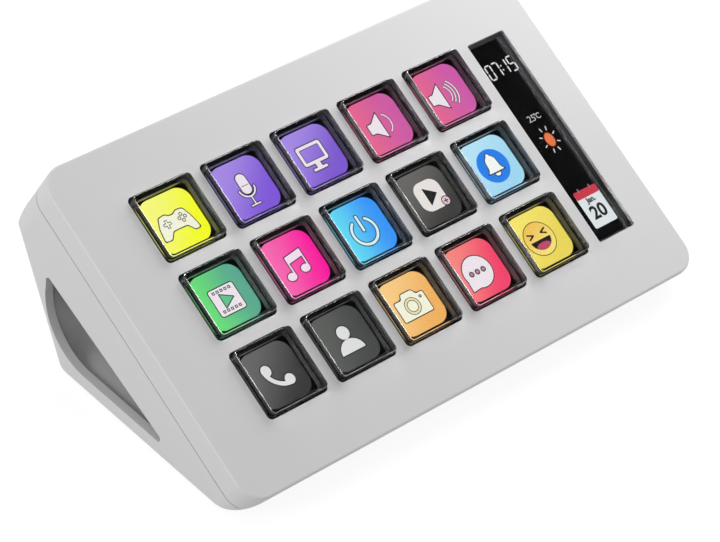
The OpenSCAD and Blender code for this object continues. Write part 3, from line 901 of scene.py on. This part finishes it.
def calendar(picture, x, y):
    """A calendar leaf with its header, two pins, the month and the day."""
    width = 6.8
    picture.layer(lit("screen_paper", paint("E9F0F0")), box(x, y, width, 9.3, rounding=0.45))
    picture.layer(lit("screen_header", paint("D23A4C")), box(x, y + 3.7, width, 1.95, rounding=0.4))
    pins = [bar((x + side, y + 4.3), (x + side, y + 5.1), 0.3) for side in (-1.65, 1.65)]
    picture.layer(lit("screen_steel", paint("8A8488")), *pins)
    slate = lit("screen_slate", paint("2C3034"))
    picture.layer(slate, lettering("Jan.", x, y + 1.72, 1.8, bold=0.045))
    picture.layer(black(), lettering("20", x, y - 1.2, 3.3, bold=0.03))


# ---------------------------------------------------------------- the silicone mat


# Half the slit of the cut.
HALF_SLIT = 0.000001


def mat_slice(level, away):
    """The silicone mat without what lies beyond a level, with the cut closed."""
    shape = bmesh.new()
    shape.from_mesh(frame["nodes"]["return_mat"].data)
    bmesh.ops.remove_doubles(shape, verts=shape.verts, dist=HALF_SLIT / 10)
    cut = bmesh.ops.bisect_plane(
        shape, geom=[*shape.verts, *shape.edges, *shape.faces], dist=HALF_SLIT / 100,
        plane_co=OUTWARD * level - away * HALF_SLIT, plane_no=away, clear_outer=True,
    )
    rim = [item for item in cut["geom_cut"] if isinstance(item, bmesh.types.BMEdge)]
    bmesh.ops.triangle_fill(shape, edges=rim, use_beauty=True)
    bmesh.ops.recalc_face_normals(shape, faces=shape.faces)
    return shape


def part_near(shape, node):
    """A copy of the part of a shape that lies within half a pitch of a key's middle."""
    near = shape.copy()
    ways = list(zip((ACROSS, UPWARD), middle(node)))
    strangers = [
        corner for corner in near.verts
        if any(abs(corner.co.dot(way) - centre) > KEY_PITCH / 2 for way, centre in ways)
    ]
    bmesh.ops.delete(near, geom=strangers, context="VERTS")
    return near


def add_mat_piece(name, shape, material):
    mesh = bpy.data.meshes.new(name)
    shape.to_mesh(mesh)
    shape.free()
    mesh.materials.append(material)
    piece = bpy.data.objects.new(name, mesh)
    bpy.context.scene.collection.objects.link(piece)
    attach(piece, "case")
    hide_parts("return_mat")
    return piece


# ---------------------------------------------------------------- the stage


# Place and side of each lamp: the near lamp's place is in the frame, and the others' are from the
# centre of the keypad. The rim lamps only draw light lines on the rounded edges of the caps, and
# each also has its share of their power.
NEAR_LAMP = (0.18, 0.05, 0.2), 0.2
SIDE_LAMP = (-0.8, 0.1, 0.35), 0.3
RIM_LAMPS = {
    "left_rim_lamp": ((-0.50, -0.14, 0.54), 0.6, 0.8),
    "rear_rim_lamp": ((-0.16, 0.56, 0.55), 0.4, 5.0),
    "right_rim_lamp": ((0.45, 0.60, 0.25), 0.55, 1.0),
}
CARD_DISTANCE, CARD_TONE = 0.7, 0.03

# The floor's tone as a lit surface, its own light where it is seen, and what it shows of shadows.
PAPER_TONE, FLOOR_GLOW, SHADOW_TONE = 0.55, 0.9, 0.15

# The camera's sensor in millimetres, and how far it sees in metres.
SENSOR_WIDTH, VIEW_REACH = 36.0, 20.0


def seen_directly(tree):
    """One where the camera, a reflection or a clear part sees a surface, and zero for its light."""
    path = tree.nodes.new("ShaderNodeLightPath")
    most = path.outputs["Is Camera Ray"]
    for name in ("Is Glossy Ray", "Is Transmission Ray"):
        most = maths(tree, "MAXIMUM", most, path.outputs[name])
    return most


def add_sheet(scene, name, side, place=Matrix()):
    """A flat square for the stage, level at the origin or turned and moved to a place."""
    sheet = bmesh.new()
    bmesh.ops.create_grid(sheet, x_segments=1, y_segments=1, size=side / 2, matrix=place)
    mesh = bpy.data.meshes.new(name)
    sheet.to_mesh(mesh)
    sheet.free()
    piece = bpy.data.objects.new(name, mesh)
    scene.collection.objects.link(piece)
    return piece


def add_floor(scene, wanted):
    """A floor that looks white, keeps a faint shadow and lights the object as grey paper does."""
    floor = add_sheet(scene, "floor", wanted.floor)
    material = bpy.data.materials.new("white_floor")
    material.use_nodes = True
    tree = material.node_tree
    tree.nodes.clear()
    paper = add_node(tree, "ShaderNodeBsdfDiffuse", {"Color": opaque([PAPER_TONE] * 3)})
    white = add_node(tree, "ShaderNodeEmission", {"Color": (1, 1, 1, 1), "Strength": FLOOR_GLOW})
    glow_share = add_node(tree, "ShaderNodeMixShader", {0: seen_directly(tree)})
    shown = add_node(tree, "ShaderNodeAddShader")
    faint = add_node(tree, "ShaderNodeBsdfDiffuse", {"Color": opaque([SHADOW_TONE] * 3)})
    tree.links.new(white.outputs[0], shown.inputs[0])
    tree.links.new(faint.outputs[0], shown.inputs[1])
    tree.links.new(paper.outputs[0], glow_share.inputs[1])
    tree.links.new(shown.outputs[0], glow_share.inputs[2])
    final = tree.nodes.new("ShaderNodeOutputMaterial")
    tree.links.new(glow_share.outputs[0], final.inputs["Surface"])
    floor.data.materials.append(material)


def add_sky(scene, wanted):
    """Even light from all round, which is seen as white."""
    world = bpy.data.worlds.new("studio")
    scene.world = world
    world.use_nodes = True
    tree = world.node_tree
    back = tree.nodes["Background"]
    back.inputs["Color"].default_value = (1, 1, 1, 1)
    strength = remap(tree, seen_directly(tree), To_Min=wanted.sky, To_Max=1.0)
    tree.links.new(strength, back.inputs["Strength"])


def add_lamp(scene, name, place, aim, size, power):
    data = bpy.data.lights.new(name, "AREA")
    data.size, data.energy = size, power
    lamp = bpy.data.objects.new(name, data)
    lamp.location = place
    lamp.rotation_euler = (aim - place).to_track_quat("-Z", "Y").to_euler()
    scene.collection.objects.link(lamp)
    return lamp


def add_soft_lamps(scene, wanted, centre):
    """A near lamp that brightens the right end of the face, and a lamp from the left."""
    place, size = NEAR_LAMP
    near = add_lamp(scene, "near_lamp", Vector(place), centre, size, wanted.near_lamp)
    near.visible_glossy = near.visible_transmission = False
    place, size = SIDE_LAMP
    add_lamp(scene, "side_lamp", centre + Vector(place), centre, size, wanted.side_lamp)


def add_rim_lamps(scene, wanted, centre):
    """Lamps that light the clear parts alone, and only in their reflections."""
    clear_parts = bpy.data.collections.new("clear_parts")
    for node in (*KEY_NODES, "strip_lens"):
        clear_parts.objects.link(frame["nodes"][node])
    for name, (place, size, share) in RIM_LAMPS.items():
        power = share * wanted.rim_lamps * size**2
        rim = add_lamp(scene, name, centre + Vector(place), centre, size, power)
        rim.visible_diffuse = rim.visible_transmission = False
        rim.light_linking.receiver_collection = clear_parts


def add_card(scene, wanted, centre):
    """A black card out of view, in the direction that flat clear parts mirror to the camera."""
    view = (Vector(wanted.camera_aim) - Vector(wanted.camera_place)).normalized()
    mirrored = view.reflect(OUTWARD)
    turned = mirrored.to_track_quat("Z", "Y").to_matrix().to_4x4()
    place = Matrix.Translation(centre + CARD_DISTANCE * mirrored) @ turned
    card = add_sheet(scene, "black_card", wanted.card, place)
    for kind in ("camera", "diffuse", "shadow"):
        setattr(card, f"visible_{kind}", False)
    card.data.materials.append(grained("black_paper", [CARD_TONE] * 3, roughness=0.9))


def add_camera(scene, wanted):
    data = bpy.data.cameras.new("camera")
    data.lens, data.sensor_width, data.clip_end = wanted.lens, SENSOR_WIDTH, VIEW_REACH
    camera = bpy.data.objects.new("camera", data)
    place, aim = Vector(wanted.camera_place), Vector(wanted.camera_aim)
    facing = (aim - place).to_track_quat("-Z", "Y").to_matrix().to_4x4()
    turned = facing @ Matrix.Rotation(wanted.camera_roll, 4, "Z")
    camera.matrix_world = Matrix.Translation(place) @ turned
    scene.collection.objects.link(camera)
    scene.camera = camera


# ---------------------------------------------------------------- operators


class KEYPAD_OT_finish_shells(bpy.types.Operator):
    """Gives the cover, the housing, the black frame, the gasket and the feet their finishes"""

    bl_idname = "keypad.finish_shells"
    bl_label = "Finish the shells"

    def execute(self, context):
        wanted = context.scene.keypad_shell
        dress(grained("satin_cover", wanted.cover, roughness=0.42, grain=wanted.grain, spread=0.12,
                      bump=0.10, shade=0.985), "front_cover")
        dress(grained("satin_housing", wanted.housing, roughness=0.46, grain=wanted.grain, spread=0.12,
                      bump=0.12, shade=0.98), "rear_housing")
        dress(grained("black_mask", wanted.mask, roughness=0.28, grain=0.0003, shade=0.85), "key_frame")
        dress(grained("closed_cell_foam", wanted.foam, roughness=0.9, grain=0.0002, bump=0.6,
                      shade=0.8), "strip_gasket")
        dress(grained("foot_rubber", paint("2A2A2B"), roughness=0.75, grain=0.0005, spread=0.15,
                      bump=0.3), "front_foot", "rear_foot")
        return {"FINISHED"}


class KEYPAD_OT_return_mat(bpy.types.Operator):
    """Makes the silicone mat as a sheet and fifteen collars, one under each key"""

    bl_idname = "keypad.return_mat"
    bl_label = "Add the silicone mat"

    def execute(self, context):
        silicone = grained("satin_silicone", paint("3A3A3C"), roughness=0.5, grain=0.0006)
        seat = span("key_frame", OUTWARD)[0]
        add_mat_piece("mat_sheet", mat_slice(seat, OUTWARD), silicone)
        collars = mat_slice(seat, -OUTWARD)
        for node in KEY_NODES:
            collar = add_mat_piece(node.replace("key", "collar"), part_near(collars, node), silicone)
            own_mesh(collar)
        collars.free()
        return {"FINISHED"}


class KEYPAD_OT_finish_clear(bpy.types.Operator):
    """Gives the key caps and the side window their clear acrylic, with painted shade on their walls and
    at the caps' feet
    """

    bl_idname = "keypad.finish_clear"
    bl_label = "Finish the clear parts"

    def execute(self, context):
        # The sides tones are painted shade on the walls, and the caps are painted black up to their
        # foot as painted shade.
        frosted = paint("EEEFF0"), 0.4
        dress(clear("clear_cap", tint=paint("FBFCFC"), sides=paint("A0A1A4"), roughness=0.2,
                    pocket=frosted, foot=0.0012), *KEY_NODES)
        dress(clear("clear_window", tint=paint("F4F5F6"), sides=paint("A8AAAC"), roughness=0.4),
              "strip_lens")
        return {"FINISHED"}


class KEYPAD_OT_finish_inside(bpy.types.Operator):
    """Gives the display, the metal parts and the electronics their finishes"""

    bl_idname = "keypad.finish_inside"
    bl_label = "Finish the inside"

    def execute(self, context):
        dress(grained("display_glass", paint("09090B"), roughness=0.12, grain=0.0005, spread=0.02,
                      bump=0.0), "display_panel")
        dress(grained("printed_film", paint("9CA67A"), roughness=0.45, grain=0.0008), "switch_sheet")
        dress(grained("diffuser", paint("F2F2EE"), roughness=0.55, grain=0.0006), "backlight")
        dress(grained("green_board", paint("1F5B35"), roughness=0.35, grain=0.0010, spread=0.15,
                      bump=0.1, shade=0.8), "main_board")
        dress(grained("chip_epoxy", paint("1B1B1D"), roughness=0.5, grain=0.0003, bump=0.2),
              "controller_chip", "memory_chip")
        dress(grained("ceramic_parts", paint("B8A27C"), roughness=0.4, bump=0.1), "board_parts")
        dress(grained("ivory_connector", paint("E6E1CF"), roughness=0.4),
              "display_connector", "switch_connector")
        dress(grained("amber_film", paint("C77B1E"), roughness=0.3, grain=0.0012), "display_ribbon")
        dress(brushed("rolled_tray", paint("C9C9C9"), roughness=0.3), "display_tray")
        dress(brushed("zinc_screws", paint("B4B5B8"), roughness=0.32),
              "tray_screws", "board_screws", "cover_screws")
        dress(brushed("socket_shell", paint("D5D5D6"), roughness=0.22), "usb_socket")
        return {"FINISHED"}


class KEYPAD_OT_key_pictures(bpy.types.Operator):
    """Lays a lit picture on the screen behind every clear key"""

    bl_idname = "keypad.key_pictures"
    bl_label = "Add the key pictures"

    def execute(self, context):
        wanted = context.scene.keypad_pictures
        size = wanted.width / MM, wanted.height / MM
        shift = wanted.shift_x / MM, wanted.shift_y / MM
        for node, (first, last, turn, symbol) in KEY_PICTURES.items():
            picture = Picture(node.replace("key", "picture"), node)
            tile = lit(f"tile_{node[-4:]}", paint(first), paint(last), picture.place, width=size[0],
                       turn=math.radians(turn))
            picture.layer(tile, box(*shift, *size, rounding=wanted.corner / MM, steps=12))
            symbol(picture)
            picture.finish()
        return {"FINISHED"}


class KEYPAD_OT_side_picture(bpy.types.Operator):
    """Lays the clock, the weather and the calendar on the narrow side display"""

    bl_idname = "keypad.side_picture"
    bl_label = "Add the side picture"

    def execute(self, context):
        picture = Picture("side_picture", "strip_lens")
        clock(picture, 18.9)
        temperature(picture, 5.65)
        sun(picture, 0.6, -0.4)
        calendar(picture, 0.6, -18.3)
        picture.finish()
        return {"FINISHED"}


class KEYPAD_OT_stage(bpy.types.Operator):
    """Adds the white floor, the even light, the lamps, the black card and the camera"""

    bl_idname = "keypad.stage"
    bl_label = "Set the stage"

    def execute(self, context):
        scene, wanted = context.scene, context.scene.keypad_stage
        scene.view_settings.view_transform = "Standard"
        centre = (CAD_BOX[0] + CAD_BOX[1]) / 2
        add_floor(scene, wanted)
        add_sky(scene, wanted)
        add_soft_lamps(scene, wanted, centre)
        add_rim_lamps(scene, wanted, centre)
        add_card(scene, wanted, centre)
        add_camera(scene, wanted)
        return {"FINISHED"}


class KEYPAD_PT_panel(bpy.types.Panel):
    """Lists the steps that dress the keypad."""

    bl_label = "Display keypad"
    bl_idname = "KEYPAD_PT_panel"
    bl_space_type = "VIEW_3D"
    bl_region_type = "UI"
    bl_category = "Keypad"

    def draw(self, context):
        for step in STEPS:
            self.layout.operator(step.bl_idname)


SETTINGS = {
    "keypad_shell": KEYPAD_ShellSettings,
    "keypad_pictures": KEYPAD_PictureSettings,
    "keypad_stage": KEYPAD_StageSettings,
}
STEPS = (
    KEYPAD_OT_finish_shells,
    KEYPAD_OT_return_mat,
    KEYPAD_OT_finish_clear,
    KEYPAD_OT_finish_inside,
    KEYPAD_OT_key_pictures,
    KEYPAD_OT_side_picture,
    KEYPAD_OT_stage,
)


def register():
    for kind in (*SETTINGS.values(), *STEPS, KEYPAD_PT_panel):
        bpy.utils.register_class(kind)
    for name, kind in SETTINGS.items():
        setattr(bpy.types.Scene, name, bpy.props.PointerProperty(type=kind))


def unregister():
    for name in SETTINGS:
        delattr(bpy.types.Scene, name)
    for kind in reversed((*SETTINGS.values(), *STEPS, KEYPAD_PT_panel)):
        bpy.utils.unregister_class(kind)


def main():
    register()
    bpy.ops.keypad.finish_shells()
    bpy.ops.keypad.return_mat()
    bpy.ops.keypad.finish_clear()
    bpy.ops.keypad.finish_inside()
    bpy.ops.keypad.key_pictures()
    bpy.ops.keypad.side_picture()
    bpy.ops.keypad.stage()


if __name__ == "__main__":
    main()
